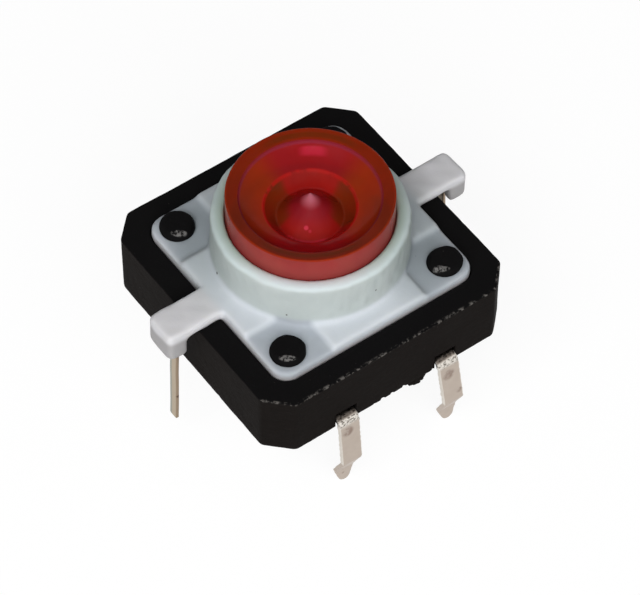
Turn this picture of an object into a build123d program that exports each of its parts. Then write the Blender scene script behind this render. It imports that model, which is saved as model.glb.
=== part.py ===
from build123d import *
from math import cos, radians, sin, sqrt
import os

os.makedirs("parts", exist_ok=True)

# Illuminated push button for a circuit board: a square switch whose lit cap travels in a collar.
# Millimetres, +Z up. The origin is the centre of the base's bottom face, which lies on the board.
# The arms that guide the lamp's leads point along X, and the contact pins leave the two Y sides.

# Base, a black moulding
body_side = 12.0
body_height = 3.06
body_corner_cut = 1.02
floor_thickness = 0.95
flange_room = 0.3  # from the plunger's flange to the wall of the well
pocket_depth = 0.3  # the cover's plate sits this deep in the base
stub_width = 0.85  # what is left of the moulding gate, under the edge of the -Y side
stub_depth = 0.2
stub_drop = 0.34
stub_x = 1.2
stub_round = 0.08

# Rivets that hold the cover: posts of the base with melted heads
post_inset = 0.98  # from the edge of the cover's plate to the post's axis
post_radius = 0.5
head_overlap = 0.24  # past the post all round
head_height = 0.3
head_round = 0.1

# Cover, a white moulding: plate, platforms, collar and arms
rim_width = 1.12  # black rim left round the plate
plate_corner_radius = 0.75
corner_rise = 0.34  # top of the plate's corners above the black rim
platform_rise = 0.18  # raised middle of each side above the corners
platform_width = 4.66
plate_edge_round = 0.12
collar_wall = 0.63
collar_rise = 2.12  # above the platforms
collar_draft = 0.8  # degrees
collar_outer_round = 0.22
collar_inner_round = 0.06
arm_width = 1.6
arm_reach = 1.5  # how far an arm stands out past the base
arm_leg_thickness = 0.9
arm_leg_drop = 1.02  # below the base's top, the left arm's leg
short_leg_drop = 0.86  # the right arm's leg
leg_round = 0.2  # round the legs' lower ends
arm_corner_radius = 0.25

# Cap, clear red
cap_radius = 3.45
cap_rise = 1.1  # above the collar
cap_edge_round = 0.05
cap_rim_width = 0.53
cap_rim_slope = 0.13
cap_rim_step = 0.07
bowl_knee_radius = 1.9
bowl_knee_drop = 0.8  # from the cap's top to the knee of the bowl
bowl_wall_sag = 0.06
bowl_foot_radius = 1.4
bowl_depth = 1.4
cone_base_radius = 1.34
cone_tip_radius = 0.04
cone_sag = 0.05  # how far the cone's side curves in
cap_seat_rise = 0.95  # from the platforms to the joint of cap and plunger
spigot_length = 0.72
spigot_wall = 0.55
cap_floor = 0.5  # plastic left under the bowl

# Plunger, the cup that carries the cap
plunger_wall = 0.52
flange_lap = 0.48  # how far the flange reaches under the cover
flange_thickness = 0.45
nub_radius = 0.7
nub_round = 0.15

# Snap dome and travel
travel = 0.3
dome_radius = 3.2
dome_rise = 0.45
dome_thickness = 0.08

# Contact strips, moulded into the base
strip_spacing = 5.0
strip_thickness = 0.22
strip_width = 0.98
strip_lift = 0.36  # mid height of the strips
strip_stand = 0.14  # from the base's wall to the middle of a bent pin's sheet
contact_radius = 0.5
tongue_width = 0.8

# Contact pins, the strips' bent ends
pin_bend_radius = 0.34  # at mid thickness
pin_leg_length = 2.6
pin_splay = 6.0  # degrees, out from the base
pin_kick_in = 0.53
pin_kick_drop = 1.1
pin_shoulder_width = 0.94
pin_tip_length = 0.8
pin_tip_width = 0.42
pin_tip_round = 0.17
bent_pin_lean = 4.5  # degrees, sideways: the front pin of strip B
recess_margin = 0.03
recess_depth = 0.28
recess_height = 1.2

# Lamp: two flat leads, a clear body, the die and its bond wire
lead_width = 0.45
lead_thickness = 0.13
lead_bend_radius = 0.3  # at mid thickness
lead_inset = 0.76  # from the arm's end to the middle of the lead
lead_drop = 2.79  # the lead's end below the base
lead_splay = 0.16  # how far the lead's end stands out past its place in the arm
lamp_flange_radius = 1.0
lamp_flange_below = 0.24  # lamp body under the leads
lamp_flange_above = 0.27
lamp_dome_radius = 0.88
lamp_dome_straight = 0.1
die_side = 0.26
die_height = 0.15
die_pad = 0.25  # the cathode lead's end past the die's middle
lead_split = 0.35  # between the two leads' ends
wire_radius = 0.025
wire_rise = 0.25  # above the die
wire_bend_radius = 0.12
wire_land = 0.1  # from the anode lead's end to the wire

# Clearances
plate_gap = 0.05  # plate in the base's pocket
post_gap = 0.03  # post in the cover's hole
cap_gap = 0.04  # cap in the collar's bore
plunger_gap = 0.09  # plunger in the collar's bore
spigot_gap = 0.02  # the cap's spigot in the plunger
stop_gap = 0.02  # flange under the cover, button up
nub_gap = 0.02  # nub above the dome
lamp_room = 0.15  # lamp above the plunger's floor
groove_gap = 0.03  # lead in the cover's groove
slot_gap = 0.2  # lead in the plunger's slot

# Levels
half_side = body_side / 2
pocket_level = body_height - pocket_depth
corner_level = body_height + corner_rise
platform_level = corner_level + platform_rise
collar_level = platform_level + collar_rise
cap_level = collar_level + cap_rise
cap_seat_level = platform_level + cap_seat_rise
bowl_level = cap_level - bowl_depth
flange_level = pocket_level - stop_gap
lead_level = body_height + lead_thickness / 2
lead_top = body_height + lead_thickness
lamp_bottom = body_height - lamp_flange_below
lamp_shoulder = lead_top + lamp_flange_above
dome_level = floor_thickness + dome_rise
contact_level = dome_level - dome_thickness - travel
leg_bottom = body_height - arm_leg_drop

# Radii and places
half_plate = half_side - rim_width
post_spacing = 2 * (half_plate - post_inset)
bore_radius = cap_radius + cap_gap
plunger_radius = bore_radius - plunger_gap
cup_radius = plunger_radius - plunger_wall
spigot_radius = cup_radius - spigot_gap
flange_radius = bore_radius + flange_lap
well_radius = flange_radius + flange_room
collar_radius = bore_radius + collar_wall
arm_end = half_side + arm_reach
lead_x = arm_end - lead_inset
strip_x = strip_spacing / 2
land_x = dome_radius - contact_radius / 2


def half_strip(x, side, lean):
    """Half of a contact strip, from the middle of the base to the tip of one pin.

    The pin leans out by the splay angle to its knee, kicks back in and ends in a straight tip, so
    that it snaps into the board's hole. The whole half turns about Y by the lean angle.
    """
    across = Vector(cos(radians(lean)), 0, sin(radians(lean)))
    side_plane = Plane(origin=(x, 0, strip_lift), x_dir=(0, side, 0), z_dir=side * across)
    front_plane = Plane(origin=(x, 0, strip_lift), x_dir=across, z_dir=(0, -1, 0))
    bend_y = half_side + strip_stand
    knee_y = bend_y + pin_leg_length * sin(radians(pin_splay))
    knee_drop = pin_leg_length * cos(radians(pin_splay))
    kick_y = knee_y - pin_kick_in
    taper_drop = knee_drop + pin_kick_drop
    tip_drop = taper_drop + pin_tip_length
    with BuildPart() as half:
        with BuildSketch(side_plane):
            with BuildLine():
                FilletPolyline(
                    (0, 0),
                    (bend_y, 0),
                    (knee_y, -knee_drop),
                    (kick_y, -taper_drop),
                    (kick_y, -tip_drop),
                    radius=pin_bend_radius,
                )
            trace(line_width=strip_thickness)
        extrude(amount=strip_width / 2, both=True)
        with BuildSketch(front_plane) as front:
            with BuildLine():
                Polyline(
                    (-strip_width / 2, strip_thickness),
                    (-strip_width / 2, -knee_drop),
                    (-pin_shoulder_width / 2, -taper_drop),
                    (-pin_tip_width / 2, -tip_drop),
                    (pin_tip_width / 2, -tip_drop),
                    (pin_shoulder_width / 2, -taper_drop),
                    (strip_width / 2, -knee_drop),
                    (strip_width / 2, strip_thickness),
                    close=True,
                )
            make_face()
            fillet(front.vertices().group_by(Axis.Y)[0], radius=pin_tip_round)
        extrude(amount=body_side, both=True, mode=Mode.INTERSECT)
    return half.part


# Terminal A: the strip that carries the dome's rim
halves_a = [half_strip(-strip_x, side, 0) for side in (-1, 1)]
with BuildPart() as terminal_a:
    add(halves_a)
    with BuildSketch(Plane.XY.offset(strip_lift - strip_thickness / 2)):
        with BuildLine():
            Line((-strip_x, 0), (-land_x, 0))
        trace(line_width=tongue_width)
    extrude(amount=strip_thickness)
    with BuildSketch(Plane.XY.offset(strip_lift - strip_thickness / 2)):
        with Locations((-land_x, 0)):
            Circle(contact_radius)
    extrude(amount=floor_thickness - strip_lift + strip_thickness / 2)
terminal_a.part.label = "terminal_a"

# Terminal B: the strip whose tongue holds the centre contact, with one pin bent aside
halves_b = [half_strip(strip_x, -1, bent_pin_lean), half_strip(strip_x, 1, 0)]
with BuildPart() as terminal_b:
    add(halves_b)
    with BuildSketch(Plane.XY.offset(strip_lift - strip_thickness / 2)):
        with BuildLine():
            Line((strip_x, 0), (0, 0))
        trace(line_width=tongue_width)
    extrude(amount=strip_thickness)
    with BuildSketch(Plane.XY.offset(strip_lift - strip_thickness / 2)):
        Circle(contact_radius)
    extrude(amount=contact_level - strip_lift + strip_thickness / 2)
terminal_b.part.label = "terminal_b"

# Base: block with cut corners, pocket for the plate, well, pin recesses and rivets
with BuildPart() as base:
    with BuildSketch() as block:
        Rectangle(body_side, body_side)
        chamfer(block.vertices(), length=body_corner_cut)
    extrude(amount=body_height)
    with BuildSketch(Plane.XY.offset(pocket_level)):
        pocket_side = 2 * (half_plate + plate_gap)
        RectangleRounded(pocket_side, pocket_side, plate_corner_radius + plate_gap)
    extrude(amount=pocket_depth, mode=Mode.SUBTRACT)
    with BuildSketch(Plane.XY.offset(floor_thickness)):
        Circle(well_radius)
    extrude(amount=body_height, mode=Mode.SUBTRACT)
    with BuildSketch():
        with GridLocations(strip_spacing, body_side - recess_depth, 2, 2):
            Rectangle(strip_width + 2 * recess_margin, recess_depth)
    extrude(amount=recess_height, mode=Mode.SUBTRACT)
    with BuildSketch(Plane.XY.offset(pocket_level)):
        with GridLocations(post_spacing, post_spacing, 2, 2):
            Circle(post_radius)
    extrude(amount=corner_level - pocket_level)
    with BuildSketch(Plane.XY.offset(corner_level)):
        with GridLocations(post_spacing, post_spacing, 2, 2):
            Circle(post_radius + head_overlap)
    extrude(amount=head_height)
    fillet(base.edges().group_by(Axis.Z)[-1], radius=head_round)
    with BuildSketch():
        with Locations((stub_x, stub_depth / 2 - half_side)):
            Rectangle(stub_width, stub_depth)
    extrude(amount=-stub_drop)
    fillet(base.edges().group_by(Axis.Z)[0].filter_by(Axis.Y), radius=stub_round)
    add(terminal_a.part, mode=Mode.SUBTRACT)
    add(terminal_b.part, mode=Mode.SUBTRACT)
base.part.label = "base"

# Cover: plate, cross of raised platforms with the arms, legs, collar, bore, holes and lead groove
with BuildPart() as cover:
    with BuildSketch(Plane.XY.offset(pocket_level)):
        RectangleRounded(2 * half_plate, 2 * half_plate, plate_corner_radius)
    extrude(amount=corner_level - pocket_level)
    with BuildSketch(Plane.XY.offset(corner_level)):
        Rectangle(2 * half_plate, platform_width)
        Rectangle(platform_width, 2 * half_plate)
    extrude(amount=platform_rise)
    with BuildSketch(Plane.XY.offset(body_height)) as arms:
        Rectangle(2 * arm_end, arm_width)
        fillet(arms.vertices(), radius=arm_corner_radius)
    extrude(amount=platform_level - body_height)
    for side, drop in ((-1, arm_leg_drop), (1, short_leg_drop)):
        with BuildSketch(Plane.XY.offset(body_height - drop)):
            with Locations((side * (arm_end - arm_leg_thickness / 2), 0)):
                Rectangle(arm_leg_thickness, arm_width)
            add(arms.sketch_local, mode=Mode.INTERSECT)
        extrude(amount=drop)
        fillet(cover.edges(Select.LAST).group_by(Axis.Z)[0], radius=leg_round)
    fillet(cover.edges().group_by(Axis.Z)[-1], radius=plate_edge_round)
    with BuildSketch(Plane.XY.offset(corner_level)):
        Circle(collar_radius)
    extrude(amount=collar_level - corner_level, taper=collar_draft)
    fillet(cover.edges().group_by(Axis.Z)[-1], radius=collar_outer_round)
    with BuildSketch(Plane.XY.offset(pocket_level)):
        Circle(bore_radius)
    extrude(amount=collar_level - pocket_level, mode=Mode.SUBTRACT)
    mouth = cover.edges().filter_by(GeomType.CIRCLE).group_by(Axis.Z)[-1]
    fillet(mouth.sort_by(SortBy.RADIUS)[0], radius=collar_inner_round)
    with BuildSketch(Plane.XY.offset(pocket_level)):
        with GridLocations(post_spacing, post_spacing, 2, 2):
            Circle(post_radius + post_gap)
    extrude(amount=corner_level - pocket_level, mode=Mode.SUBTRACT)
    with BuildSketch(Plane.XZ):
        with Locations((0, lead_top)):
            groove_reach = lead_x + lead_thickness / 2 + groove_gap
            Rectangle(2 * groove_reach, lead_top - leg_bottom, align=(Align.CENTER, Align.MAX))
    extrude(amount=lead_width / 2 + groove_gap, both=True, mode=Mode.SUBTRACT)
cover.part.label = "cover"

# Plunger: cup with a flange under the cover, a nub on the dome and slots that clear the leads
with BuildPart() as plunger:
    disc_level = flange_level - flange_thickness
    with BuildSketch(Plane.XZ):
        with BuildLine():
            Polyline(
                (0, dome_level + nub_gap),
                (nub_radius, dome_level + nub_gap),
                (nub_radius, disc_level),
                (flange_radius, disc_level),
                (flange_radius, flange_level),
                (plunger_radius, flange_level),
                (plunger_radius, cap_seat_level),
                (cup_radius, cap_seat_level),
                (cup_radius, lamp_bottom - lamp_room),
                (0, lamp_bottom - lamp_room),
                close=True,
            )
        make_face()
    revolve(axis=Axis.Z)
    fillet(plunger.edges().group_by(Axis.Z)[0], radius=nub_round)
    with BuildSketch(Plane.XZ):
        with Locations((0, body_height - slot_gap / 2)):
            slot_height = cap_seat_level - body_height + slot_gap
            Rectangle(2 * plunger_radius, slot_height, align=(Align.CENTER, Align.MIN))
    extrude(amount=lead_width / 2 + slot_gap, both=True, mode=Mode.SUBTRACT)
plunger.part.label = "plunger"

# Cap: rim, bowl with a knee, pointed cone in the middle, spigot that sits in the plunger
with BuildPart() as cap:
    with BuildSketch(Plane.XZ) as cap_section:
        with BuildLine():
            rim_inner = cap_radius - cap_rim_width
            rim_low = cap_level - cap_rim_slope
            rim_foot = (rim_inner, rim_low - cap_rim_step)
            knee = (bowl_knee_radius, cap_level - bowl_knee_drop)
            pocket_top = bowl_level - cap_floor
            pocket_radius = spigot_radius - spigot_wall
            spigot_end = cap_seat_level - spigot_length
            Polyline(
                (cone_tip_radius, cap_level),
                (0, cap_level),
                (0, pocket_top),
                (pocket_radius, pocket_top),
                (pocket_radius, spigot_end),
                (spigot_radius, spigot_end),
                (spigot_radius, cap_seat_level),
                (cap_radius, cap_seat_level),
                (cap_radius, cap_level),
                (rim_inner, rim_low),
                rim_foot,
            )
            SagittaArc(rim_foot, knee, bowl_wall_sag)
            Polyline(knee, (bowl_foot_radius, bowl_level), (cone_base_radius, bowl_level))
            cone_foot = (cone_base_radius, bowl_level)
            SagittaArc(cone_foot, (cone_tip_radius, cap_level), cone_sag)
        make_face()
        rim_corner = cap_section.vertices().group_by(Axis.X)[-1].sort_by(Axis.Y)[-1]
        fillet(rim_corner, radius=cap_edge_round)
    revolve(axis=Axis.Z)
cap.part.label = "cap"

# Snap dome: a spherical cap of spring steel, its rim lying on the well's floor
with BuildPart() as snap_dome:
    with BuildSketch(Plane.XZ):
        with BuildLine():
            sphere_radius = (dome_radius**2 + dome_rise**2) / (2 * dome_rise)
            under_radius = sphere_radius - dome_thickness
            rim_radius = sqrt(under_radius**2 - (sphere_radius - dome_rise) ** 2)
            under_level = dome_level - dome_thickness
            TangentArc((0, dome_level), (dome_radius, floor_thickness), tangent=(1, 0))
            Line((dome_radius, floor_thickness), (rim_radius, floor_thickness))
            TangentArc((0, under_level), (rim_radius, floor_thickness), tangent=(1, 0))
            Line((0, under_level), (0, dome_level))
        make_face()
    revolve(axis=Axis.Z)
snap_dome.part.label = "snap_dome"


def bent_lead(inner_x, side):
    """A flat lead from inner_x out to the arm's leg, down through it and on past the base."""
    with BuildPart() as lead:
        with BuildSketch(Plane.XZ):
            with BuildLine():
                FilletPolyline(
                    (inner_x, lead_level),
                    (side * lead_x, lead_level),
                    (side * lead_x, leg_bottom),
                    (side * (lead_x + lead_splay), -lead_drop),
                    radius=lead_bend_radius,
                )
            trace(line_width=lead_thickness)
        extrude(amount=lead_width / 2, both=True)
    return lead.part


# Lamp leads: the cathode lead carries the die, the anode lead takes the bond wire
cathode = bent_lead(-die_pad, 1)
anode = bent_lead(-die_pad - lead_split, -1)
with BuildPart() as led_cathode_lead:
    add(cathode)
led_cathode_lead.part.label = "led_cathode_lead"

with BuildPart() as led_anode_lead:
    add(anode)
led_anode_lead.part.label = "led_anode_lead"

# Die, bonded on the cathode lead
with BuildPart() as led_chip:
    with BuildSketch(Plane.XY.offset(lead_top)):
        Rectangle(die_side, die_side)
    extrude(amount=die_height)
led_chip.part.label = "led_chip"

# Bond wire, from the top of the die over to the anode lead
with BuildPart() as led_bond_wire:
    with BuildLine(Plane.XZ) as arch:
        die_top = lead_top + die_height
        land = -die_pad - lead_split - wire_land
        FilletPolyline(
            (0, die_top),
            (0, die_top + wire_rise),
            (land, die_top + wire_rise),
            (land, lead_top),
            radius=wire_bend_radius,
        )
    with BuildSketch(Plane.XY.offset(die_top)):
        Circle(wire_radius)
    sweep(path=arch.wires()[0])
led_bond_wire.part.label = "led_bond_wire"

# Lamp body: a round flange moulded over the leads and a domed lens
with BuildPart() as led_lens:
    with BuildSketch(Plane.XZ):
        with BuildLine():
            dome_foot = (lamp_dome_radius, lamp_shoulder + lamp_dome_straight)
            dome_top = (0, lamp_shoulder + lamp_dome_straight + lamp_dome_radius)
            Polyline(
                dome_top,
                (0, lamp_bottom),
                (lamp_flange_radius, lamp_bottom),
                (lamp_flange_radius, lamp_shoulder),
                (lamp_dome_radius, lamp_shoulder),
                dome_foot,
            )
            TangentArc(dome_foot, dome_top, tangent=(0, 1))
        make_face()
    revolve(axis=Axis.Z)
    add(led_cathode_lead.part, mode=Mode.SUBTRACT)
    add(led_anode_lead.part, mode=Mode.SUBTRACT)
    add(led_chip.part, mode=Mode.SUBTRACT)
    add(led_bond_wire.part, mode=Mode.SUBTRACT)
led_lens.part.label = "led_lens"

export_step(base.part, "parts/base.step")
export_step(cover.part, "parts/cover.step")
export_step(cap.part, "parts/cap.step")
export_step(plunger.part, "parts/plunger.step")
export_step(snap_dome.part, "parts/snap_dome.step")
export_step(terminal_a.part, "parts/terminal_a.step")
export_step(terminal_b.part, "parts/terminal_b.step")
export_step(led_lens.part, "parts/led_lens.step")
export_step(led_anode_lead.part, "parts/led_anode_lead.step")
export_step(led_cathode_lead.part, "parts/led_cathode_lead.step")
export_step(led_chip.part, "parts/led_chip.step")
export_step(led_bond_wire.part, "parts/led_bond_wire.step")
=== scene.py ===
import bmesh
import bpy
import numpy as np
from mathutils import Matrix, Vector


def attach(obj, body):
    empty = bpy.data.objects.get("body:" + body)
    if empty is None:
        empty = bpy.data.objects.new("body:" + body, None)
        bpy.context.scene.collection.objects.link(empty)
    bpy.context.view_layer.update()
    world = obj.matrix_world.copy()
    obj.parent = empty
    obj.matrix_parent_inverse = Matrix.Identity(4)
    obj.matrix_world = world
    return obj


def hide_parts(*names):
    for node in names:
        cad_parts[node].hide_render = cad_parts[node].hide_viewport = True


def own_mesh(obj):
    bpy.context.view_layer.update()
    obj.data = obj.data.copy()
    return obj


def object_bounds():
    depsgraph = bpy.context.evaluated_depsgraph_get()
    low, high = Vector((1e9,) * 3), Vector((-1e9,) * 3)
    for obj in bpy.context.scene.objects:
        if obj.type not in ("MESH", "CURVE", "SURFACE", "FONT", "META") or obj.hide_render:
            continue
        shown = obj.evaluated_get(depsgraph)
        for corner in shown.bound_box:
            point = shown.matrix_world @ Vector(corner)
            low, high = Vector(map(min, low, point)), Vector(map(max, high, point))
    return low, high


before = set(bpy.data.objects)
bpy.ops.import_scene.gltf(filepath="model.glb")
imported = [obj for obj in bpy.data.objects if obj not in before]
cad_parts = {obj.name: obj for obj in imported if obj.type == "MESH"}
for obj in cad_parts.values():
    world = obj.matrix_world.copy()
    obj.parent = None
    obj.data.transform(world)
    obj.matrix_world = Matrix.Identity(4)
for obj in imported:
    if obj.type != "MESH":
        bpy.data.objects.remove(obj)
cad_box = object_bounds()


# Camera. It stands where the photograph was taken from, fitted to twelve corners of the base and
# the cover. The long lens and the small shift are the fit's own.
def stand_camera(azimuth, elevation, roll, distance, lens, shift):
    """The camera looks at the origin: back points from there to it, roll turns it about back."""
    a, e, r = np.radians((azimuth, elevation, roll))
    back = np.array((np.sin(a) * np.cos(e), -np.cos(a) * np.cos(e), np.sin(e)))
    level = np.array((np.cos(a), np.sin(a), 0.0))
    above = np.cross(back, level)
    right = np.cos(r) * level + np.sin(r) * above
    up = np.cos(r) * above - np.sin(r) * level
    camera = bpy.data.objects.new("camera", bpy.data.cameras.new("camera"))
    bpy.context.scene.collection.objects.link(camera)
    place = np.eye(4)
    place[:3, 0], place[:3, 1], place[:3, 2], place[:3, 3] = right, up, back, back * distance
    camera.matrix_world = Matrix(place)
    camera.data.sensor_width = 36  # mm, as the fitted lens
    camera.data.lens = lens
    camera.data.shift_x, camera.data.shift_y = shift
    camera.data.clip_start, camera.data.clip_end = 0.005, 5  # the object is only 15 mm wide
    bpy.context.scene.camera = camera


stand_camera(azimuth=-35.916, elevation=52.562, roll=0.330, distance=0.145628, lens=196.994,
             shift=(0.015846, -0.001397))


# Base. One black moulding: a square block with cut corners, the recesses behind the pins, the torn
# flash along its edges, the snapped-off gate and the four staked posts that hold the cover.
def wander(points, pitch, seed, waves=10):
    """Smooth noise of about -1 to 1 at points in mm: a sum of sines in random directions."""
    draw = np.random.default_rng(seed)
    aim = draw.normal(size=(waves, 3))
    aim /= np.linalg.norm(aim, axis=1, keepdims=True) * pitch * draw.uniform(0.6, 1.5, (waves, 1))
    phase = draw.uniform(0, 2 * np.pi, waves)
    return np.sin(2 * np.pi * points @ aim.T + phase).sum(-1) / np.sqrt(waves)


def ease(value, low, high):
    """0 below low, 1 above high and a smooth step between them."""
    t = np.clip((value - low) / (high - low), 0, 1)
    return t * t * (3 - 2 * t)


def skin(rings):
    """Points and faces of a tube through rings[ring, place], closed on itself round each ring.

    A fan closes the first and the last ring on its mean point.
    """
    rings = np.asarray(rings, float)
    count, places = rings.shape[:2]
    ring, place = np.meshgrid(np.arange(count - 1), np.arange(places), indexing="ij")
    here, beyond = ring * places, (ring + 1) * places
    beside = (place + 1) % places
    quads = np.stack((here + place, here + beside, beyond + beside, beyond + place), -1)
    points = np.vstack((rings.reshape(-1, 3), rings[0].mean(0), rings[-1].mean(0)))
    first, last = len(points) - 2, len(points) - 1
    edge = np.arange(places)
    after = (edge + 1) % places
    tail = (count - 1) * places
    faces = quads.reshape(-1, 4).tolist()
    faces += np.stack((after, edge, np.full(places, first)), -1).tolist()
    faces += np.stack((tail + edge, tail + after, np.full(places, last)), -1).tolist()
    return points, faces


def make_piece(name, skins, body, node, finish, sharp=40):
    """An object of closed skins in mm, put in place in metres, that stands for a CAD node.

    Edges that turn by more than sharp degrees stay hard.
    """
    starts = np.cumsum([0] + [len(points) for points, _ in skins])
    points = np.vstack([points for points, _ in skins]) / 1000
    faces = [[start + i for i in face] for start, (_, made) in zip(starts, skins) for face in made]
    mesh = bpy.data.meshes.new(name)
    mesh.from_pydata(points.tolist(), [], faces)
    shell = bmesh.new()
    shell.from_mesh(mesh)
    bmesh.ops.recalc_face_normals(shell, faces=shell.faces)
    shell.to_mesh(mesh)
    shell.free()
    mesh.polygons.foreach_set("use_smooth", np.ones(len(mesh.polygons), bool))
    mesh.set_sharp_from_angle(angle=np.radians(sharp))
    mesh.materials.append(finish)
    made = bpy.data.objects.new(name, mesh)
    bpy.context.scene.collection.objects.link(made)
    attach(made, body)
    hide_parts(node)
    return made


class Wire:
    """A number on a surface. Arithmetic on it adds Math nodes to its node tree."""

    def __init__(self, nodes, socket):
        self.nodes, self.socket = nodes, socket

    def math(self, operation, *others):
        values = dict(enumerate((self, *others)))
        return self.nodes.node("ShaderNodeMath", {"operation": operation}, values)

    def __add__(self, other):
        return self.math("ADD", other)

    def __mul__(self, other):
        return self.math("MULTIPLY", other)

    def __sub__(self, other):
        return self.math("SUBTRACT", other)

    def __truediv__(self, other):
        return self.math("DIVIDE", other)

    def __pow__(self, other):
        return self.math("POWER", other)

    def __rsub__(self, other):
        return self.nodes.node("ShaderNodeMath", {"operation": "SUBTRACT"}, {0: other, 1: self})

    def __abs__(self):
        return self.math("ABSOLUTE")

    __radd__, __rmul__ = __add__, __mul__

    def step(self, low, high):
        """0 below low, 1 above high and a smooth step between, or the reverse if low > high."""
        low, high, out = (low, high, (0.0, 1.0)) if low < high else (high, low, (1.0, 0.0))
        return self.nodes.node(
            "ShaderNodeMapRange",
            {"interpolation_type": "SMOOTHSTEP"},
            {0: self, 1: low, 2: high, 3: out[0], 4: out[1]},
        )

    def band(self, rise, fall):
        """1 between two levels: it rises over the first pair and falls over the second."""
        return self.step(*rise) * self.step(fall[1], fall[0])

    def limit(self):
        """Held between 0 and 1."""
        return self.math("MAXIMUM", 0.0).math("MINIMUM", 1.0)


class Nodes:
    """A node tree, of a material or of the world."""

    def __init__(self, tree):
        self.tree = tree

    def node(self, kind, settings, values, output=0):
        """A node of one kind, its settings first, then the value or wire of each named socket."""
        made = self.tree.nodes.new(kind)
        for name, value in settings.items():
            setattr(made, name, value)
        for socket, value in values.items():
            if isinstance(value, Wire):
                self.tree.links.new(value.socket, made.inputs[socket])
            else:
                made.inputs[socket].default_value = value
        return Wire(self, made.outputs[output])


class Finish(Nodes):
    """A material. place is the surface point in mm, and x, y and z are its parts."""

    def __init__(self, name, **constants):
        self.material = bpy.data.materials.new(name)
        self.material.use_nodes = True
        super().__init__(self.material.node_tree)
        self.shader = self.tree.nodes["Principled BSDF"]
        for socket, value in constants.items():
            self.shader.inputs[socket.replace("_", " ")].default_value = value
        here = self.node("ShaderNodeTexCoord", {}, {}, "Object")
        self.place = self.node("ShaderNodeVectorMath", {"operation": "SCALE"}, {0: here, 3: 1000.0})
        self.x, self.y, self.z = (
            self.node("ShaderNodeSeparateXYZ", {}, {0: self.place}, axis) for axis in range(3)
        )

    def from_axis(self):
        """Distance in mm from the button's axis."""
        return (self.x * self.x + self.y * self.y) ** 0.5

    def along(self, way, start=(0.0, 0.0)):
        """How far in mm a point lies from start, measured along a level direction."""
        return (self.x - start[0]) * way[0] + (self.y - start[1]) * way[1]

    def noise(self, pitch, detail=3.0, rough=0.55, stretch=(1, 1, 1)):
        """Noise of 0 to 1 with features about pitch mm across, drawn out along an axis."""
        place = self.node(
            "ShaderNodeVectorMath", {"operation": "MULTIPLY"}, {0: self.place, 1: stretch}
        )
        values = {"Vector": place, "Scale": 1 / pitch, "Detail": detail, "Roughness": rough}
        return self.node("ShaderNodeTexNoise", {}, values)

    def cells(self, pitch):
        """Distance to the nearest of scattered points that lie about pitch mm apart."""
        values = {"Vector": self.place, "Scale": 1 / pitch}
        return self.node("ShaderNodeTexVoronoi", {}, values, "Distance")

    def near(self, centre, reach, soft=0.5):
        """1 at a place in mm, falling to 0 at reach from it over the outer share soft."""
        gap = self.node(
            "ShaderNodeVectorMath", {"operation": "DISTANCE"}, {0: self.place, 1: centre}, "Value"
        )
        return gap.step(reach, reach * (1 - soft))

    def mix(self, share, low, high, blend="MIX"):
        """The colour low where share is 0 and high where it is 1."""
        low, high = ((*c, 1) if isinstance(c, tuple) else c for c in (low, high))
        settings = {"data_type": "RGBA", "blend_type": blend}
        share_socket, low_socket, high_socket, colour_output = 0, 6, 7, 2
        values = {share_socket: share, low_socket: low, high_socket: high}
        return self.node("ShaderNodeMix", settings, values, colour_output)

    def bump(self, height, size, under=None):
        """A relief of size mm from a height of 0 to 1."""
        values = {"Height": height, "Distance": size / 1000, "Strength": 1.0}
        if under:
            values["Normal"] = under
        return self.node("ShaderNodeBump", {}, values)

    def wear(self, **looks):
        """Links wires to the shader's sockets and gives back the finished material."""
        for socket, value in looks.items():
            self.tree.links.new(value.socket, self.shader.inputs[socket.replace("_", " ")])
        return self.material


def tint(red, green, blue):
    """A colour as it is seen, 0 to 255, turned into the light that it stands for (sRGB's curve)."""
    seen = np.array((red, green, blue)) / 255
    light = np.where(seen > 0.04045, ((seen + 0.055) / 1.055) ** 2.4, seen / 12.92)
    return tuple(float(v) for v in light)


half_side = 6.0
height = 3.06
corner_cut = 1.02  # what a cut corner takes off each wall
corner_power = 170  # the higher, the sharper the block's upright edges
pocket_side = 4.93
pocket_corner = 0.8
pocket_floor = 2.76
well_radius, well_floor = 4.3, 0.95
recess_half, recess_depth, recess_top = 0.52, 0.28, 0.8
steep = 0.006  # half the width of a recess's steep sides and top
pin_x = 2.5  # the contact strips lie along Y at -pin_x and pin_x


def block_reach(angle):
    """Distance from the axis to the block's wall: eight flat sides, their corners just softened.

    It is a soft smallest of the reaches to the sides: 1 over the power sum of 1 over each reach.
    """
    c, s = np.abs(np.cos(angle)), np.abs(np.sin(angle))
    sides = np.stack((c / half_side, s / half_side, (c + s) / (2 * half_side - corner_cut)))
    return (sides**corner_power).sum(0) ** (-1 / corner_power)


def pocket_reach(angle):
    """Distance from the axis to a square with rounded corners.

    That is the reach to the flat side, or else to the far crossing with the corner's circle.
    """
    c, s = np.abs(np.cos(angle)), np.abs(np.sin(angle))
    flat = pocket_side / np.maximum(c, s)
    middle = pocket_side - pocket_corner
    along = middle * (c + s)
    rounded = along + np.sqrt(np.maximum(along**2 - 2 * middle**2 + pocket_corner**2, 0))
    return np.where(flat * np.minimum(c, s) > middle, rounded, flat)


def block_angles(spacing):
    """Angles whose points lie evenly along the block's wall, with a pair at each recess's sides."""
    fine = np.linspace(-np.pi, np.pi, 40001)
    wall = block_reach(fine)[:, None] * np.stack((np.cos(fine), np.sin(fine)), -1)
    walk = np.concatenate(([0], np.cumsum(np.linalg.norm(np.diff(wall, axis=0), axis=1))))
    even = np.interp(np.arange(0, walk[-1], spacing), walk, fine)
    lips = np.array([
        np.arctan2(way * half_side, spot + edge * recess_half + slip)
        for spot in (-pin_x, pin_x) for edge in (-1, 1) for way in (-1, 1)
        for slip in (-steep, steep)
    ])
    return np.unique(np.concatenate((even, lips)))


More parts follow.
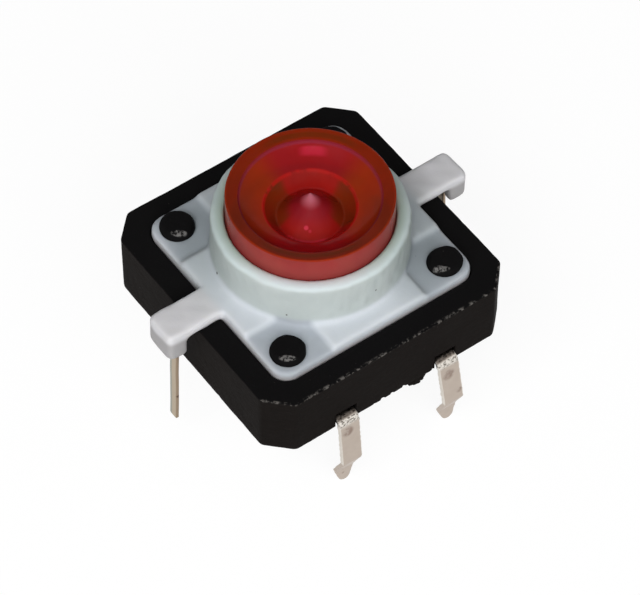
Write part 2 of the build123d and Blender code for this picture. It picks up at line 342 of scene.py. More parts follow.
angle = block_angles(spacing=0.05)
round_about = np.stack((np.cos(angle), np.sin(angle)), -1)
outside, inside = block_reach(angle), pocket_reach(angle)


def block_ring(reach, level):
    """A ring at one reach per angle and one level, or a level per angle."""
    return np.column_stack((round_about * reach[:, None], np.broadcast_to(level, angle.shape)))


# The tear grows towards the front, -Y, edge. It sets how worn the top and foot edges are there.
on_wall = block_ring(outside, 0)
front = ease(-on_wall[:, 1], 4.8, 5.9)
tear = np.abs(wander(on_wall, 0.5, 3)) * 0.6 + np.abs(wander(on_wall, 0.16, 4)) * 0.4
top_edge = 0.022 + tear * (0.01 + 0.035 * front)
foot_edge = 0.03 + tear * 0.02
torn_stretch = ease(2.2 - np.abs(on_wall[:, 0] - 0.6), 0, 0.3)
torn_foot = 0.11 * front * ease(wander(on_wall, 0.33, 11), 0.2, 0.9) * torn_stretch
lip = front * ease(wander(on_wall, 0.24, 8), 0.5, 1.3) * 0.035
outer_rings = [
    block_ring(outside * 0, 0), block_ring(outside * 0.6, 0), block_ring(outside - 0.4, 0),
    block_ring(outside - foot_edge, torn_foot * 0.6),
    block_ring(outside - foot_edge * 0.3, torn_foot + foot_edge * 0.3),
]
first_on_wall = 4
wall_levels = np.concatenate((
    np.linspace(0.12, recess_top - steep, 10), np.linspace(recess_top + steep, 2.94, 15)))
for level in wall_levels:
    outer_rings.append(block_ring(outside, np.maximum(level, torn_foot + 0.05)))
outer_rings += [
    block_ring(outside, height - top_edge),
    block_ring(outside - top_edge * 0.25 + lip * 0.3, height - top_edge * 0.3 + lip),
    block_ring(outside - top_edge, np.full(angle.shape, height)),
]
outer_rings = np.array(outer_rings)
ring_y, ring_z = outer_rings[..., 1], outer_rings[..., 2]
at_front_or_back = (np.abs(ring_y) > half_side - 0.2) & (ring_z < recess_top)
in_recess = np.zeros(ring_y.shape)
for spot in (-pin_x, pin_x):
    from_spot = np.abs(outer_rings[..., 0] - spot)
    in_recess += (from_spot < recess_half * np.abs(ring_y) / half_side) & at_front_or_back
outer_rings[..., 1] -= np.sign(ring_y) * recess_depth * in_recess
lumps = 0.006 * wander(outer_rings, 2.2, 5) + 0.0025 * wander(outer_rings, 0.4, 6)
outer_rings[first_on_wall:-1, :, :2] += (lumps[..., None] * round_about)[first_on_wall:-1]
rim_shares = (0.06, 0.3, 0.6, 0.88, 0.97)
rim_rings = [block_ring(outside + (inside - outside) * share, height) for share in rim_shares]
well = np.full(angle.shape, well_radius)
inner_rings = [
    block_ring(inside + 0.02, height), block_ring(inside, height - 0.03),
    block_ring(inside, pocket_floor), block_ring(well, pocket_floor),
    block_ring(well, well_floor), block_ring(outside * 0, well_floor),
]
block = skin(np.concatenate((outer_rings, rim_rings, inner_rings)))


def turned(profile, places=96):
    """Rings of a profile of radius and height turned about Z."""
    about = np.arange(places) * 2 * np.pi / places
    profile = np.asarray(profile, float)
    return np.stack((
        profile[:, :1] * np.cos(about), profile[:, :1] * np.sin(about),
        np.repeat(profile[:, 1:], places, 1)), -1)


def rivet(x, y, seed, lean):
    """A post and its melted head: rounded sides, a flat top that lies off centre, and a pinch.

    Each profile point is a radius and a height. worked is 0 on the post and 1 on the head's top.
    """
    post_side = [(0.01, 2.7), (0.5, 2.7), (0.5, 3.395)]
    head = [(0.66, 3.405), (0.72, 3.42), (0.738, 3.47), (0.738, 3.53), (0.72, 3.6), (0.69, 3.67),
            (0.65, 3.72), (0.6, 3.75), (0.55, 3.76)]
    dish = np.linspace(0.9, 0.03, 14)
    top = np.stack((0.55 * dish, 3.762 - 0.012 * (1 - dish)), -1)
    rings = turned(np.vstack((post_side, head, top)))
    rings += (x, y, 0)
    worked = ease(rings[..., 2], 3.42, 3.7)[..., None]
    out = rings - (x, y, rings[..., 2].mean())
    spread = 0.022 * wander(rings, 0.7, seed) + 0.006 * wander(rings, 0.14, seed + 1)
    pinch_x, pinch_y = (rings[..., 0] - x + 0.32) / 0.22, (rings[..., 1] - y + 0.45) / 0.2
    pinch = np.exp(-(pinch_x**2 + pinch_y**2))
    rough = 0.02 * wander(rings, 0.07, seed + 2) - 0.03
    rings[..., :2] += worked * (out[..., :2] * spread[..., None] + lean)
    rings[..., 2] += worked[..., 0] * (0.012 * wander(rings, 0.5, seed + 3) + pinch * rough)
    return skin(rings)


# The gate's rest: a lump under the front edge, pressed flat at the wall and at its foot.
stub_up = np.linspace(-0.5, 0.5, 16) * np.pi
stub_rings = turned(np.stack((np.cos(stub_up) ** 0.5, np.sin(stub_up)), -1), places=40)
stub_rings *= (0.43, 0.13, 0.27)
stub_rings += (1.15, -5.87, -0.14)
stub_rings += 0.045 * np.stack([wander(stub_rings, 0.22, seed) for seed in (20, 21, 22)], -1)
stub_rings[..., 1] = np.maximum(stub_rings[..., 1], -half_side)
stub_rings[..., 2] = np.maximum(stub_rings[..., 2], -0.42)

# Level directions across the photo and away from its camera. Marks and painted shades that were
# placed by the photo lie along them. They are fixed to the object.
across_way, back_way = (0.81, -0.586), (0.586, 0.81)
black = Finish("black_moulding", Specular_IOR_Level=0.015)
cloud = black.noise(1.6, 4)
grain = black.noise(0.06, 2)
rubbed = black.noise(0.35, 5, 0.7, (1, 1, 2.2))
scuff = black.noise(0.5, 4, 0.6, (1, 1, 9)).step(0.62, 0.8)
on_side = black.z.step(3.045, 3.0)
on_front_cut = black.y.step(-4.9, -5.0) * (abs(black.x) - black.y).step(10.82, 10.9)
in_front = black.y.step(-5.85, -5.97) + on_front_cut
edge_band = black.z.band((2.96, 3.04), (3.08, 3.12)) * in_front.limit()
nicks = edge_band * black.noise(0.2, 4, 0.7).step(0.48, 0.62)
dust = black.cells(0.33).step(0.055, 0.02) * black.noise(1.1, 2).step(0.5, 0.6)
# Paler, smoother patches on the front shoulder of each staked head: partly melt marks, partly a
# painted highlight.
marks = 0.0
for spot in ((-4.19, -4.3), (3.5, -4.25), (-4.13, 3.45), (4.2, 3.4)):
    along, over = black.along(across_way, spot), black.along(back_way, spot)
    marks = marks + (along * along * 7.0 + over * over * 44.0).step(1.0, 0.5)
melt_and_highlight = marks * black.z.step(3.42, 3.5) * black.noise(0.12, 4, 0.7).step(0.42, 0.56)
base_ink = black.mix(cloud * 0.6 + grain * 0.4, tint(15, 15, 16), tint(22, 21, 21))
# The sides are lighter than the top: rubbed wear, and partly a painted reflection of the floor.
side_wear_and_reflection_ink = black.mix(rubbed, tint(17, 15, 14), tint(32, 28, 26))
body_ink = black.mix(on_side * 0.9, base_ink, side_wear_and_reflection_ink)
# Painted shade: the recess behind each pin is inked near-black up to its top.
behind_pin = abs(abs(black.x) - pin_x).step(0.6, 0.54)
recess_shade = abs(black.y).band((5.6, 5.68), (5.85, 5.93)) * behind_pin
body_ink = black.mix(recess_shade * black.z.step(1.0, 0.8), body_ink, tint(9, 8, 8))
paleness = nicks * 0.7 + dust * 0.5 + scuff * on_side * 0.05
pale_ink = black.mix(paleness.limit(), body_ink, tint(120, 116, 112))
black_moulding = black.wear(
    Base_Color=black.mix((melt_and_highlight * 0.8).limit(), pale_ink, tint(128, 126, 124)),
    Roughness=0.52 + rubbed * 0.16 - melt_and_highlight * 0.2,
    Normal=black.bump(grain, 0.006, black.bump(rubbed * on_side + cloud * 0.3, 0.02)),
)
post = 3.9  # each post's place along X and Y
rivets = [
    rivet(-post, -post, seed=31, lean=(0.02, 0.01)),
    rivet(post, -post, seed=41, lean=(0.07, -0.04)),
    rivet(post, post, seed=51, lean=(0, 0.03)),
    rivet(-post, post, seed=61, lean=(0.02, 0.03)),
]
make_piece("base_moulding", [block, *rivets, skin(stub_rings)], "housing",
           "base", black_moulding)


# Cover. One white moulding that lies in the base's pocket: plate, cross of platforms, collar and
# two arms. Its edges are soft, as on the real one, so the solid is melted a little on a fine grid.
def softened(node, grid, passes):
    """A CAD node's mesh in mm, remeshed on a grid and smoothed by averaging neighbours."""
    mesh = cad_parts[node].data.copy()
    mesh.transform(Matrix.Scale(1000, 4))
    shell = bmesh.new()
    shell.from_mesh(mesh)
    bmesh.ops.remove_doubles(shell, verts=shell.verts, dist=0.001)
    shell.to_mesh(mesh)
    shell.free()
    rough = bpy.data.objects.new("rough", mesh)
    bpy.context.scene.collection.objects.link(rough)
    remesh = rough.modifiers.new("grid", "REMESH")
    remesh.mode, remesh.voxel_size = "VOXEL", grid
    fine = bpy.data.meshes.new_from_object(
        rough.evaluated_get(bpy.context.evaluated_depsgraph_get()))
    bpy.data.objects.remove(rough)
    count = len(fine.vertices)
    points = np.empty(count * 3, np.float32)
    fine.vertices.foreach_get("co", points)
    points = points.reshape(-1, 3).astype(float)
    ends = np.empty(len(fine.edges) * 2, np.int32)
    fine.edges.foreach_get("vertices", ends)
    ends = ends.reshape(-1, 2)
    ways = np.bincount(ends.ravel(), minlength=count)[:, None]
    pull = 0.6  # how far a point goes to its neighbours' mean in one pass
    for _ in range(passes):
        total = np.stack([
            np.bincount(ends[:, 0], points[ends[:, 1], axis], count)
            + np.bincount(ends[:, 1], points[ends[:, 0], axis], count) for axis in range(3)], -1)
        points = points * (1 - pull) + total / ways * pull
    faces = [tuple(polygon.vertices) for polygon in fine.polygons]
    bpy.data.meshes.remove(fine)
    return points, faces


cover_points, cover_faces = softened("cover", grid=0.065, passes=13)
from_axis = np.hypot(cover_points[:, 0], cover_points[:, 1])
on_collar = ease(cover_points[:, 2], 3.75, 4.2) * ease(from_axis, 3.7, 3.9)
wavy = 0.022 * wander(cover_points, 1.9, 71) + 0.01 * wander(cover_points, 0.6, 72)
cover_points[:, :2] *= 1 + (on_collar * (wavy - 0.012) / from_axis)[:, None]
on_arm = ease(np.abs(cover_points[:, 0]), 4.9, 5.4)[:, None]
lumpy = np.stack([wander(cover_points, 0.8, seed) for seed in (73, 74, 75)], -1)
cover_points += on_arm * (0.011 * lumpy - (0, 0, 0.004))

white = Finish("white_moulding", Subsurface_Weight=0.25, Subsurface_Scale=1.0,
               Subsurface_Radius=(0.0007, 0.0007, 0.0006), Specular_IOR_Level=0.15)
reach = white.from_axis()
collar = white.z.step(3.62, 3.95) * reach.step(4.5, 4.2)
haze = white.noise(1.3, 3)
fine_grain = white.noise(0.09, 3)
# Painted light: the arms get a lighter ink than the plate of the same moulding.
arm_ink = white.mix(haze, tint(216, 216, 218), tint(224, 223, 226))
plate_ink = white.mix(haze, tint(208, 214, 220), tint(218, 223, 228))
thin_ink = white.mix(haze, tint(163, 170, 178), tint(179, 186, 193))
thin = abs(white.x).step(2.2, 2.5) * abs(white.y).step(2.2, 2.5)
plate_ink = white.mix(thin * 0.8, plate_ink, thin_ink)
plate_ink = white.mix(abs(white.x).step(4.6, 5.2), plate_ink, arm_ink)
# Painted shade: the legs and the plate's sides, below its top, are a darker grey.
plate_ink = white.mix(white.z.step(3.35, 3.0), plate_ink, tint(173, 171, 172))
# Painted shade and light: the upright collar wall is darker and greener than the plate, and its top
# ring is lighter.
collar_ink = white.mix(haze, tint(182, 192, 191), tint(199, 206, 204))
collar_ink = white.mix(white.z.step(5.45, 5.68), collar_ink, tint(216, 227, 229))
beside_cap = abs(white.along(across_way)) / (reach + 0.01)
# Painted shade, tinted green, on the collar at both sides of the cap.
beside_cap_shade = beside_cap.step(0.3, 0.9) * reach.step(4.2, 3.5) * white.z.step(4.6, 5.6)
beside_cap_shade_ink = white.mix(beside_cap_shade * 0.7, collar_ink, tint(150, 192, 172))
white_ink = white.mix(collar, plate_ink, beside_cap_shade_ink)
top_share = 1.0 - white.z.step(5.3, 5.6) * 0.6
well_shade = beside_cap.step(0.66, 1.0) * reach.step(6.2, 4.9) * top_share
white_ink = white.mix(well_shade * 0.46, white_ink, (0.45, 0.5, 0.48), "MULTIPLY")
specks = white.near((-4.02, 0.83, 3.74), 0.08)
for spot in ((-1.02, -4.02, 4.3), (0.3, -4.1, 4.55), (3.94, -1.2, 4.9), (-3.1, -2.7, 4.0)):
    specks = specks + white.near(spot, 0.05)
soil = white.cells(0.9).step(0.035, 0.015) * haze.step(0.5, 0.56)
white_moulding = white.wear(
    Base_Color=white.mix((specks + soil * 0.4).limit(), white_ink, tint(40, 38, 34)),
    Roughness=0.42 + haze * 0.14,
    Normal=white.bump(fine_grain, 0.004, white.bump(haze, 0.03)),
)
make_piece("cover_moulding", [(cover_points, cover_faces)], "housing", "cover",
           white_moulding, sharp=60)


# Cap. Clear red plastic with a polished flat rim, a dished top and a pointed cone in the middle.
# Its spigot is pressed into the plunger.
def arc(start, end, sag, count=16):
    """A straight line from start to end plus a parabola that bows out by sag to its left."""
    start, end = np.array(start), np.array(end)
    t = np.linspace(0, 1, count)[:, None]
    way = end - start
    left = np.array((-way[1], way[0])) / np.linalg.norm(way)
    return start + way * t + left * (4 * sag * t * (1 - t))


# Radius and height, from inside the spigot up the wall and over the rim to the cone's point.
cap_profile = np.vstack((
    [(0.03, 4.9), (2.28, 4.9), (2.31, 4.87), (2.31, 3.84), (2.34, 3.81), (2.83, 3.81), (2.86, 3.84),
     (2.86, 4.53), (3.4, 4.53), (3.45, 4.58)],
    np.stack((np.full(16, 3.45), np.linspace(4.7, 6.7, 16)), -1),
    arc((3.45, 6.75), (3.4, 6.8), -0.012, 5),
    np.stack((np.linspace(3.36, 2.945, 6), np.linspace(6.79, 6.68, 6)), -1),
    arc((2.925, 6.668), (2.905, 6.6), 0.004, 4),
    arc((2.89, 6.58), (1.93, 6.01), 0.06, 20),
    arc((1.9, 5.99), (1.87, 5.95), 0.004, 4),
    np.stack((np.linspace(1.84, 1.42, 8), np.linspace(5.915, 5.41, 8)), -1),
    [(1.4, 5.402), (1.35, 5.4)],
    arc((1.33, 5.415), (0.05, 6.77), 0.05, 24),
    [(0.035, 6.785), (0.012, 6.795)],
))
cap_rings = turned(cap_profile, places=256)
cap_rings[..., 2] += 0.004 * wander(cap_rings, 1.4, 81) * ease(cap_rings[..., 2], 5.0, 5.6)

red = Finish("red_clear", Transmission_Weight=0.5, IOR=1.16, Specular_IOR_Level=0.06)
from_middle = red.from_axis()
mottle = red.noise(1.1, 3)
streak = red.noise(0.5, 4, 0.6, (1, 1, 0.5))
sideways = red.along(across_way) / (from_middle + 0.01)
across = sideways * sideways
# Painted light seen through the clear plastic: the bowl is orange at the two sides and crimson in
# front and behind.
bowl_painted_light = red.mix(across.step(0.2, 0.75), red.mix(mottle, tint(176, 30, 34), tint(194, 38, 44)),
               red.mix(mottle, tint(182, 56, 18), tint(202, 66, 22)))
# Painted shade: dark patches on the bowl's flanks, where the dark inside shows through.
rearward = red.along((0.587, 0.81)) / (from_middle + 0.01)
flank = abs(sideways) * 0.978 + rearward * 0.208
inside_shade = flank.step(0.72, 0.86) * from_middle.step(0.6, 1.0) * (0.5 + mottle * 0.6)
deep_red = red.mix(streak, tint(180, 34, 30), tint(206, 44, 36))
inside_shaded = red.mix(inside_shade.limit(), deep_red, tint(138, 58, 18))
inner = red.mix(from_middle.step(1.98, 1.86), bowl_painted_light, inside_shaded)
# Painted highlight: a bright red ring along the bowl's knee.
knee_highlight = from_middle.band((1.8, 1.88), (1.92, 2.0)) * streak.step(0.3, 0.5)
ringed = red.mix(knee_highlight * 0.8, inner, tint(236, 40, 36))
# Painted highlight: the cone turns pink towards its point.
cone_highlit_ink = red.mix(from_middle.step(0.1, 0.5), tint(232, 132, 150), tint(172, 38, 50))
pointed = red.mix(from_middle.step(1.2, 0.55), ringed, cone_highlit_ink)
edge_line = from_middle.band((2.8, 2.88), (2.92, 2.98))
lined = red.mix(edge_line * 0.7, pointed, tint(166, 56, 84))
rim = red.mix(mottle, tint(152, 44, 10), tint(176, 54, 16))
# Painted shade: a dark olive band across the rim, in front and behind, standing in for light bent
# through it.
rim_shade_band = from_middle.band((2.98, 3.08), (3.2, 3.3)) * across.step(0.5, 0.15)
rim = red.mix(rim_shade_band * 0.6, rim, tint(112, 58, 8))
rim = red.mix(from_middle.step(3.34, 3.42), rim, tint(186, 60, 22))
with_rim = red.mix(from_middle.step(2.9, 2.96) * red.z.step(6.5, 6.62), lined, rim)
# Painted glints: bright pink spots on the cone and a bright arc round its foot.
glint_grain = red.noise(0.09, 3, 0.6).step(0.4, 0.55)
foot_line = from_middle.band((1.3, 1.37), (1.44, 1.52))
cone_glints = red.near((-0.7, -0.68, 5.78), 0.13) + red.near((-0.63, -0.85, 5.68), 0.09) * 0.6
scattered_glints = red.near((-1.3, -0.55, 5.4), 0.3) * glint_grain * 0.6
glints = cone_glints + foot_line * (red.near((-0.75, -1.18, 5.4), 0.75) * 0.7 + scattered_glints)
# Painted highlight: a reflection of the window lamp on the bowl's back wall.
back_wall_highlight = red.near((1.58, 2.02, 6.37), 0.72, 0.6) * red.z.band((6.2, 6.3), (6.42, 6.5))
with_rim = red.mix(back_wall_highlight * 0.8, with_rim, tint(240, 48, 78))
glinted = red.mix(glints.limit(), with_rim, tint(255, 74, 100))
wall = red.mix(red.noise(0.9, 3, 0.5, (1, 1, 0.4)), tint(202, 98, 88), tint(184, 72, 76))
red_ink = red.mix(from_middle.step(3.425, 3.445) * red.z.step(6.78, 6.7), glinted, wall)
red_clear = red.wear(
    Base_Color=red_ink,
    Roughness=0.1 + streak * 0.08,
    Normal=red.bump(mottle, 0.006),
)
make_piece("cap_lens", [skin(cap_rings)], "button", "cap", red_clear)


# Plunger. A pale moulded cup that the cap's spigot is pressed into. It slides in the collar, its
# flange stops under the cover and its nub stands over the snap dome. It keeps its solid.
def dress(node, finish):
    """A CAD node that the scene shows as it is wears a finish."""
    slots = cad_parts[node].data.materials
    slots.clear()
    slots.append(finish)


pale = Finish("pale_moulding", Specular_IOR_Level=0.45)
pale_haze = pale.noise(0.8, 3)
dress("plunger", pale.wear(
    Base_Color=pale.mix(pale_haze, tint(196, 204, 190), tint(214, 220, 206)),
    Roughness=0.4 + pale_haze * 0.15,
    Normal=pale.bump(pale.noise(0.08), 0.003),
))


# Contact strips. Tinned sheet, stamped and bent after moulding, so the bends carry tool marks. Each
# is swept from the base's middle out to both pins' tips, and has a tongue with a contact pad.
def bent_line(corners, radius, step):
    """Points and directions along straight runs joined by arcs of one radius."""
    corners = np.asarray(corners, float)
    ways = np.diff(corners, axis=0)
    lengths = np.linalg.norm(ways, axis=1)
    ways /= lengths[:, None]
    turn = np.arctan2(ways[:-1, 0] * ways[1:, 1] - ways[:-1, 1] * ways[1:, 0],
                      (ways[:-1] * ways[1:]).sum(1))
    trim = np.concatenate(([0], radius * np.tan(np.abs(turn) / 2), [0]))
    points, aims = [], []
    for i, (way, length) in enumerate(zip(ways, lengths)):
        run = np.arange(trim[i], length - trim[i + 1], step)
        points.append(corners[i] + run[:, None] * way)
        aims.append(np.broadcast_to(way, (len(run), 2)))
        if i < len(turn):
            start = corners[i] + way * (length - trim[i + 1])
            swing = np.linspace(0, turn[i], max(int(abs(turn[i]) * radius / step * 1.6), 4))
            bend = np.sign(turn[i]) * radius
            left = np.array((-way[1], way[0]))
            points.append(start + bend * left * (1 - np.cos(swing))[:, None]
                          + abs(bend) * way * np.sin(np.abs(swing))[:, None])
            aims.append(np.stack((way[0] * np.cos(swing) - way[1] * np.sin(swing),
                                  way[0] * np.sin(swing) + way[1] * np.cos(swing)), -1))
    points.append(corners[-1:])
    aims.append(ways[-1:])
    return np.vstack(points), np.vstack(aims)


def ribbon(line, aims, widths, thickness, places=40):
    """Rings of a flat strip carried along a line in the YZ plane.

    The section is a superellipse, which is a rectangle with round corners.
    """
    corner_power = 8
    about = np.arange(places) * 2 * np.pi / places
    flat = np.abs(np.stack((np.cos(about), np.sin(about))))
    reach = (flat**corner_power).sum(0) ** (-1 / corner_power)
    wide, thick = np.cos(about) * reach, np.sin(about) * reach
    normal = np.stack((-aims[:, 1], aims[:, 0]), -1)
    across = wide * widths[:, None] / 2
    through = thick * thickness / 2
    yz = line[:, None, :] + normal[:, None, :] * through[None, :, None]
    return np.concatenate((across[..., None], yz), -1)


strip_level, sheet, bend_radius = 0.36, 0.22, 0.34
bend_y = half_side + 0.14
leg, splay = 2.6, np.radians(6)
knee_y, knee_drop = bend_y + leg * np.sin(splay), leg * np.cos(splay)
kick_y, taper_drop = knee_y - 0.53, knee_drop + 1.1
tip_drop = taper_drop + 0.8


def pin(x, way, lean, seed):
    """Half a strip from the base's middle out to a pin's tip, leaning sideways by an angle."""
    line, aims = bent_line(
        [(0, 0), (bend_y, 0), (knee_y, -knee_drop), (kick_y, -taper_drop), (kick_y, -tip_drop)],
        bend_radius, step=0.03)
    drop = -line[:, 1]
    widths = np.interp(drop, (knee_drop, taper_drop, tip_drop), (0.98, 0.94, 0.42))
    end = np.clip((tip_drop - drop) / 0.17, 0, 1)
    widths -= 0.34 * (1 - np.sqrt(1 - (1 - end) ** 2))
    rings = ribbon(line, aims, widths, sheet)
    at_bend = np.exp(-(((rings[..., 1] - bend_y) / 0.25) ** 2 + (rings[..., 2] / 0.4) ** 2))
    tool = wander(rings * (1.5, 1, 1), 0.13, seed) * 0.022 * at_bend
    wobble = wander(rings, 0.6, seed + 1) * 0.006
    rings[..., 1] += tool + wobble
    rings[..., 0] += 0.01 * wander(rings, 0.25, seed + 2) * (np.abs(rings[..., 0]) > 0.3)
    rings[..., 2] = np.maximum(rings[..., 2], -tip_drop)
    c, s = np.cos(np.radians(lean)), np.sin(np.radians(lean))
    return np.stack((x + rings[..., 0] * c - rings[..., 2] * s, way * rings[..., 1],
                     strip_level + rings[..., 2] * c + rings[..., 0] * s), -1)


def tongue(strip_x, pad_x, pad_top):
    """A flat tongue from a strip to its round contact pad, whose upper edge is softened."""
    half_wide, low, high = 0.4, 0.26, 0.46
    pad_radius, soft_edge, middle = 0.5, 0.04, 0.01
    corners = ((pad_x, -half_wide), (strip_x, -half_wide), (strip_x, half_wide), (pad_x, half_wide))
    flat = [[(*corner, level) for corner in corners] for level in (low, high)]
    pad = turned([(middle, low), (pad_radius, low), (pad_radius, pad_top - soft_edge),
                  (pad_radius - soft_edge, pad_top), (middle, pad_top)], places=48)
    return [skin(flat), skin(pad + (pad_x, 0, 0))]


tin = Finish("tinned_strip", Metallic=1.0)
flow = tin.noise(0.5, 4, 0.6)
rolled = tin.noise(0.1, 3, 0.6, (1, 1, 0.12))
pits = tin.noise(0.11, 4, 0.75, (1, 1, 1.6)).step(0.48, 0.6)
from_centre = abs(tin.y)
# The band over each outer bend holds tool marks and pits, and a painted highlight: paler ink and
# less metal.
bend_marks_and_highlight = from_centre.step(6.07, 6.15) * tin.z.step(0.0, 0.22)
stain = (tin.near((-2.63, -6.31, -0.28), 0.34) * 0.9 + tin.near((2.46, -6.31, -0.39), 0.38) * 0.8
         + tin.near((-2.6, -5.9, -3.6), 0.14) + tin.near((2.95, -6.45, -1.7), 0.2)
         + tin.near((-2.4, 6.2, -0.7), 0.35) * 0.7) * flow.step(0.38, 0.6)
pin_lean, lean_slope = 4.5, 0.079  # of the right front pin, in degrees and as a slope
leaning = tin.x.step(-0.1, 0.1) * tin.y.step(0.1, -0.1)
from_pin = abs(abs(tin.x) - pin_x + (tin.z - strip_level) * lean_slope * leaning)
# The pins' cut side edges are lighter: cut edges, and partly a painted highlight.
cut_edge_glint = from_pin.step(0.43, 0.47) * tin.z.step(-2.3, -2.1)
metal = tin.mix(flow, tint(184, 170, 158), tint(206, 194, 182))
edge_glinted = tin.mix(cut_edge_glint * (0.3 + rolled * 0.7), metal, tint(238, 234, 226))
brown = tin.mix(stain.limit() * 0.8, edge_glinted, tint(116, 88, 74))
bend_highlit = tin.mix(bend_marks_and_highlight, brown, tint(226, 220, 211))
pitted = tin.mix((bend_marks_and_highlight * pits).limit(), bend_highlit, tint(84, 74, 64))
# Where the strips go into the base they are darker: partly soot, partly painted shade.
at_wall = from_centre.step(6.14, 6.04) * tin.z.step(-0.1, 0.1)
sooted_and_shaded = tin.mix(at_wall * (0.7 + pits * 0.3), pitted, tint(46, 40, 36))
tinned_strip = tin.wear(
    Base_Color=sooted_and_shaded,
    Roughness=0.36 + flow * 0.18 - bend_marks_and_highlight * 0.12,
    Metallic=1.0 - (stain.limit() * 0.5 + bend_marks_and_highlight * 0.45).limit(),
    Normal=tin.bump(rolled, 0.006, tin.bump(flow * bend_marks_and_highlight, 0.02)),
)
halves = {
    (-pin_x, -1): pin(-pin_x, -1, 0.0, seed=101), (-pin_x, 1): pin(-pin_x, 1, 0.0, seed=111),
    (pin_x, -1): pin(pin_x, -1, pin_lean, seed=121), (pin_x, 1): pin(pin_x, 1, 0.0, seed=131),
}
strips = (("terminal_a", -pin_x, -2.95, 0.95), ("terminal_b", pin_x, 0, 1.02))
for name, x, pad_x, pad_top in strips:
    skins = [skin(halves[x, way]) for way in (-1, 1)] + tongue(x, pad_x, pad_top)
    make_piece(name + "_strip", skins, "housing", name, tinned_strip)


# Lamp leads. Flat tinned wire out of the lamp, through a groove under each arm, bent down through
# the arm's leg and cut off square.
wire = Finish("lamp_lead", Metallic=1.0)
wire_flow = wire.noise(0.7, 4)
drawn = wire.noise(0.12, 3, 0.6, (1, 1, 0.08))
back_third = wire.y.step(0.06, 0.1)
lead_metal = wire.mix(wire_flow, tint(176, 160, 138), tint(196, 182, 160))
# Greyer over the back third of its width.
greyer_at_back = wire.mix(back_third, lead_metal, tint(160, 160, 148))
edge_shade = wire.y.step(-0.17, -0.21)
lead_ink = wire.mix(edge_shade * 0.5, greyer_at_back, tint(120, 90, 66))
spot_ink = wire.mix(wire.near((-6.84, -0.22, -1.3), 0.1), lead_ink, tint(90, 62, 44))
lamp_lead = wire.wear(
    Base_Color=spot_ink,
    Roughness=0.38 + wire_flow * 0.15,
    Normal=wire.bump(drawn, 0.005, wire.bump(wire_flow, 0.02)),
)


lead_level, lead_x, knee_level, tip_x, tip_level = 3.125, 6.74, 2.04, 6.9, -2.79
lead_wide, lead_thick = 0.49, 0.14


def lead(inner_x, way, seed):
    """A lead's rings: the ribbon's own YZ line is turned so that it lies in the XZ plane."""
    corners = [(inner_x * way, lead_level), (lead_x, lead_level), (lead_x, knee_level),
               (tip_x, tip_level)]
    line, aims = bent_line(corners, radius=0.3, step=0.04)
    end = np.clip((line[:, 1] - tip_level) / 0.06, 0, 1)
    widths = lead_wide * (0.8 + 0.2 * np.sqrt(1 - (1 - end) ** 2))
    rings = ribbon(line, aims, widths, lead_thick)
    bent = np.stack((way * rings[..., 1], -way * rings[..., 0], rings[..., 2]), -1)
    low = ease(-bent[..., 2], -1.9, 0.5)
    bent[..., 0] += 0.012 * wander(bent, 1.6, seed) * low
    return bent


make_piece("led_cathode_lead_wire", [skin(lead(-0.25, 1, seed=141))], "housing",
           "led_cathode_lead", lamp_lead)
make_piece("led_anode_lead_wire", [skin(lead(-0.6, -1, seed=151))], "housing",
           "led_anode_lead", lamp_lead)


# Snap dome. A round disc of spring steel that lies on the well's floor under the plunger's nub.
steel = Finish("spring_steel", Metallic=1.0)
lay = steel.noise(0.15, 3, 0.6, (0.1, 1, 1))
spring_steel = steel.wear(
    Base_Color=steel.mix(lay, tint(188, 188, 186), tint(206, 206, 203)),
    Roughness=0.28 + lay * 0.12,
    Normal=steel.bump(lay, 0.002),
)
dome_reach, dome_rise, dome_sheet = 3.2, 0.45, 0.08
dome_ball = (dome_reach**2 + dome_rise**2) / (2 * dome_rise)  # radius of its upper side
under_ball = dome_ball - dome_sheet
over_reach = np.linspace(dome_reach, 0.01, 33)
under_reach = np.linspace(0.01, np.sqrt(under_ball**2 - (dome_ball - dome_rise)**2), 33)
sunk = well_floor + dome_rise - dome_ball
dome_profile = np.vstack((
    np.stack((under_reach, sunk + np.sqrt(under_ball**2 - under_reach**2)), -1),
    np.stack((over_reach, sunk + np.sqrt(dome_ball**2 - over_reach**2)), -1)))
dome = make_piece("snap_dome_disc", [skin(turned(dome_profile))], "housing",
                  "snap_dome", spring_steel)
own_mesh(dome)


# Lamp. A clear moulded body on the two leads, with a die on the cathode lead and a gold bond wire
# from the die to the anode lead. All three keep their solids.
clear = Finish("lamp_clear", Transmission_Weight=0.9, IOR=1.5)
milk = clear.noise(0.6, 2)
dress("led_lens", clear.wear(
    Base_Color=clear.mix(milk, tint(236, 240, 236), tint(246, 248, 246)),
    Roughness=0.06 + milk * 0.06,
    Normal=clear.bump(milk, 0.004),
))
die = Finish("die")
mesa = die.noise(0.05, 2)
dress("led_chip", die.wear(
    Base_Color=die.mix(mesa, tint(180, 96, 60), tint(150, 70, 40)),
    Roughness=0.3 + mesa * 0.1,
))
gold = Finish("bond_wire", Metallic=1.0)
pull = gold.noise(0.04, 2)
dress("led_bond_wire", gold.wear(
    Base_Color=gold.mix(pull, tint(230, 200, 130), tint(214, 182, 112)),
    Roughness=0.25 + pull * 0.1,
))


# Setting. A plain pale floor under the pins' tips, four soft lamps on the camera's side and a faint
# room that is brightest there. Floor and room are white to the camera, in gloss and through clear
# plastic. Three of the lamps light the object without showing in its gloss.
def lamp(name, azimuth, elevation, size, power, shows=True):
    """A soft square lamp that faces the object. Azimuth 0 stands at -Y."""
    distance = 0.35
    a, e = np.radians((azimuth, elevation))
    light = bpy.data.lights.new(name, "AREA")
    light.size = size
    light.energy = power
    hung = bpy.data.objects.new(name, light)
    hung.location = Vector((np.sin(a) * np.cos(e), -np.cos(a) * np.cos(e), np.sin(e))) * distance
    hung.rotation_mode = "QUATERNION"
    hung.rotation_quaternion = (-hung.location).to_track_quat("-Z", "Y")
    hung.visible_glossy = shows
    bpy.context.scene.collection.objects.link(hung)


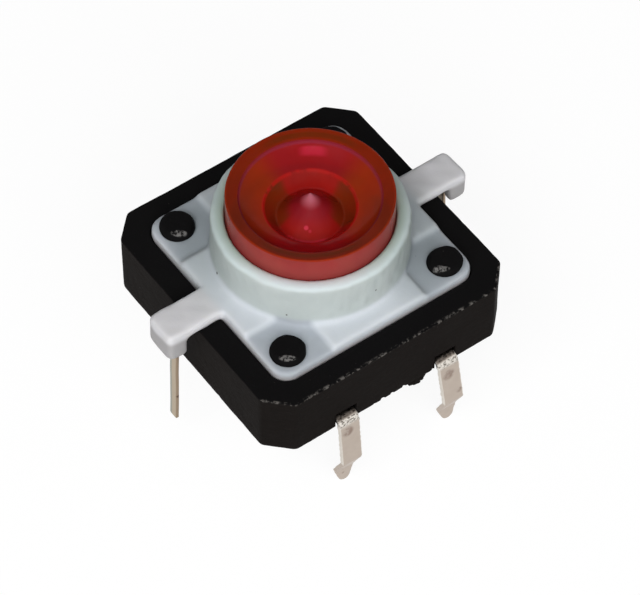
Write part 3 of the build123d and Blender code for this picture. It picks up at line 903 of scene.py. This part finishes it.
lamp("left_lamp", azimuth=-68, elevation=48, size=0.22, power=0.53, shows=False)
lamp("right_lamp", azimuth=-5, elevation=36, size=0.2, power=0.36, shows=False)
lamp("front_lamp", azimuth=-36, elevation=27, size=0.16, power=0.36, shows=False)
lamp("window", azimuth=-36, elevation=58, size=0.1, power=0.07)

floor_mesh = bpy.data.meshes.new("floor")
edge, floor_level = 1.5, float(cad_box[0].z)
floor_mesh.from_pydata(
    [(x, y, floor_level) for x, y in ((-edge, -edge), (edge, -edge), (edge, edge), (-edge, edge))],
    [], [(0, 1, 2, 3)])
floor = bpy.data.objects.new("floor", floor_mesh)
bpy.context.scene.collection.objects.link(floor)
paper = Finish("floor", Roughness=0.9, Base_Color=(0.85, 0.85, 0.85, 1))
bright_rays = ("Is Camera Ray", "Is Glossy Ray", "Is Transmission Ray")
seen = sum(paper.node("ShaderNodeLightPath", {}, {}, ray) for ray in bright_rays)
shine = paper.node("ShaderNodeEmission", {}, {"Color": (1, 1, 1, 1), "Strength": 1.07})
blend = paper.node("ShaderNodeMixShader", {}, {
    0: seen.limit() * 0.85, 1: Wire(paper, paper.shader.outputs[0]), 2: shine})
paper.tree.links.new(blend.socket, paper.tree.nodes["Material Output"].inputs[0])
floor_mesh.materials.append(paper.material)

world = bpy.data.worlds.new("room")
bpy.context.scene.world = world
world.use_nodes = True
room = Nodes(world.node_tree)
to_lamps, faintest, brightest = (-0.53, -0.73, 0.43), 0.01, 0.08
way = room.node("ShaderNodeTexCoord", {}, {}, "Generated")
facing = room.node("ShaderNodeVectorMath", {"operation": "DOT_PRODUCT"}, {0: way, 1: to_lamps},
                   "Value")
levels = {0: facing, 1: -0.6, 2: 1.0, 3: faintest, 4: brightest}
strength = room.node("ShaderNodeMapRange", {}, levels)
for ray in bright_rays:
    strength = strength.math("MAXIMUM", room.node("ShaderNodeLightPath", {}, {}, ray))
background = room.tree.nodes["Background"]
background.inputs["Color"].default_value = (1, 1, 1, 1)
room.tree.links.new(strength.socket, background.inputs["Strength"])

bpy.context.scene.view_settings.view_transform = "Standard"
